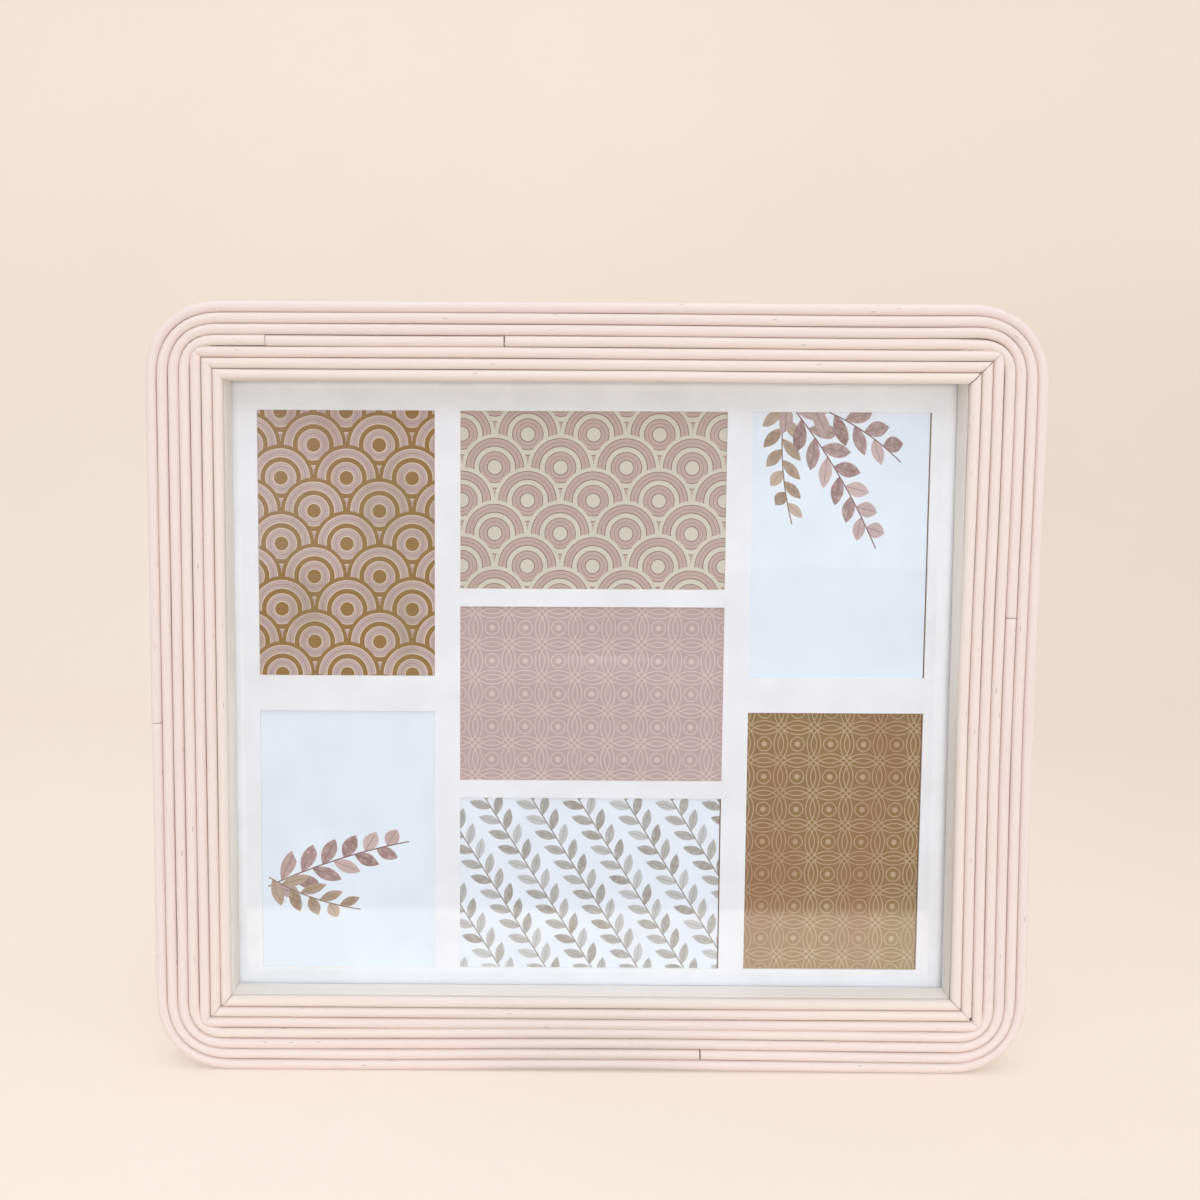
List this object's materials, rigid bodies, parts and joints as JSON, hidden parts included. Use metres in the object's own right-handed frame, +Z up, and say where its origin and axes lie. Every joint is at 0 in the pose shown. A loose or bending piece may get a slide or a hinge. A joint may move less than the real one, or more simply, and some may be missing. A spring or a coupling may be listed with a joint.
{
  "type": "collage photo frame",
  "caption": "Rectangular collage photo frame faced with rows of round cane, bent round the outer corners and mitred inside, holding prints behind a glazed mat.",
  "frame": {"origin": "middle of the flat underside of the bottom rail, on the surface that the frame stands on", "axes": "+X to the viewer's right along the bottom rail, +Y towards the wall behind, +Z up"},
  "size_m": [0.476, 0.0313, 0.416],
  "materials": {
    "limewashed_cane": "limewashed, satin",
    "painted_wood": "thin pale paint",
    "clear_glass": "clear, polished",
    "mat_board": "white paper board",
    "print_ochre": "printed card, ochre ground",
    "print_cream": "printed card, cream ground",
    "print_blush": "printed card, blush ground",
    "print_white": "printed card, white ground",
    "hardboard": "smooth brown hardboard",
    "plated_steel": "zinc plated"
  },
  "bodies": {
    "frame": {"rail_top": "painted_wood", "rail_right": "painted_wood", "rail_bottom": "painted_wood", "rail_left": "painted_wood", "bent_cane_1": "limewashed_cane", "bent_cane_2": "limewashed_cane", "bent_cane_3": "limewashed_cane", "bent_cane_4": "limewashed_cane", "filler_cane_4": "limewashed_cane", "inner_cane_5_top": "limewashed_cane", "inner_cane_5_right": "limewashed_cane", "inner_cane_5_bottom": "limewashed_cane", "inner_cane_5_left": "limewashed_cane", "inner_cane_6_top": "limewashed_cane", "inner_cane_6_right": "limewashed_cane", "inner_cane_6_bottom": "limewashed_cane", "inner_cane_6_left": "limewashed_cane", "inner_cane_7_top": "limewashed_cane", "inner_cane_7_right": "limewashed_cane", "inner_cane_7_bottom": "limewashed_cane", "inner_cane_7_left": "limewashed_cane", "glass": "clear_glass", "mat": "mat_board", "print_top_left": "print_ochre", "print_bottom_left": "print_white", "print_top_middle": "print_cream", "print_middle": "print_blush", "print_bottom_middle": "print_white", "print_top_right": "print_white", "print_bottom_right": "print_ochre", "backing_board": "hardboard", "turn_button_screws": "plated_steel", "hanger_strap_left": "plated_steel", "hanger_strap_right": "plated_steel", "hanger_screws": "plated_steel"},
    "button_top_left": {"turn_button_top_left": "plated_steel"},
    "button_top_right": {"turn_button_top_right": "plated_steel"},
    "button_bottom_left": {"turn_button_bottom_left": "plated_steel"},
    "button_bottom_right": {"turn_button_bottom_right": "plated_steel"},
    "button_left": {"turn_button_left": "plated_steel"},
    "button_right": {"turn_button_right": "plated_steel"},
    "ring_left": {"d_ring_left": "plated_steel"},
    "ring_right": {"d_ring_right": "plated_steel"}
  },
  "joints": [
    {"name": "turn_button_top_left", "type": "hinge", "parent": "frame", "child": "button_top_left", "pos_m": [-0.11, 0.0106, 0.3902], "axis": [0, 1, 0], "continuous": true},
    {"name": "turn_button_top_right", "type": "hinge", "parent": "frame", "child": "button_top_right", "pos_m": [0.11, 0.0106, 0.3902], "axis": [0, 1, 0], "continuous": true},
    {"name": "turn_button_bottom_left", "type": "hinge", "parent": "frame", "child": "button_bottom_left", "pos_m": [-0.11, 0.0106, 0.0258], "axis": [0, 1, 0], "continuous": true},
    {"name": "turn_button_bottom_right", "type": "hinge", "parent": "frame", "child": "button_bottom_right", "pos_m": [0.11, 0.0106, 0.0258], "axis": [0, 1, 0], "continuous": true},
    {"name": "turn_button_left", "type": "hinge", "parent": "frame", "child": "button_left", "pos_m": [-0.2122, 0.0106, 0.208], "axis": [0, 1, 0], "continuous": true},
    {"name": "turn_button_right", "type": "hinge", "parent": "frame", "child": "button_right", "pos_m": [0.2122, 0.0106, 0.208], "axis": [0, 1, 0], "continuous": true},
    {"name": "ring_swing_left", "type": "hinge", "parent": "frame", "child": "ring_left", "pos_m": [-0.22135, 0.01311, 0.306], "axis": [1, 0, 0], "range_deg": [0, 180]},
    {"name": "ring_swing_right", "type": "hinge", "parent": "frame", "child": "ring_right", "pos_m": [0.22135, 0.01311, 0.306], "axis": [1, 0, 0], "range_deg": [0, 180]}
  ]
}
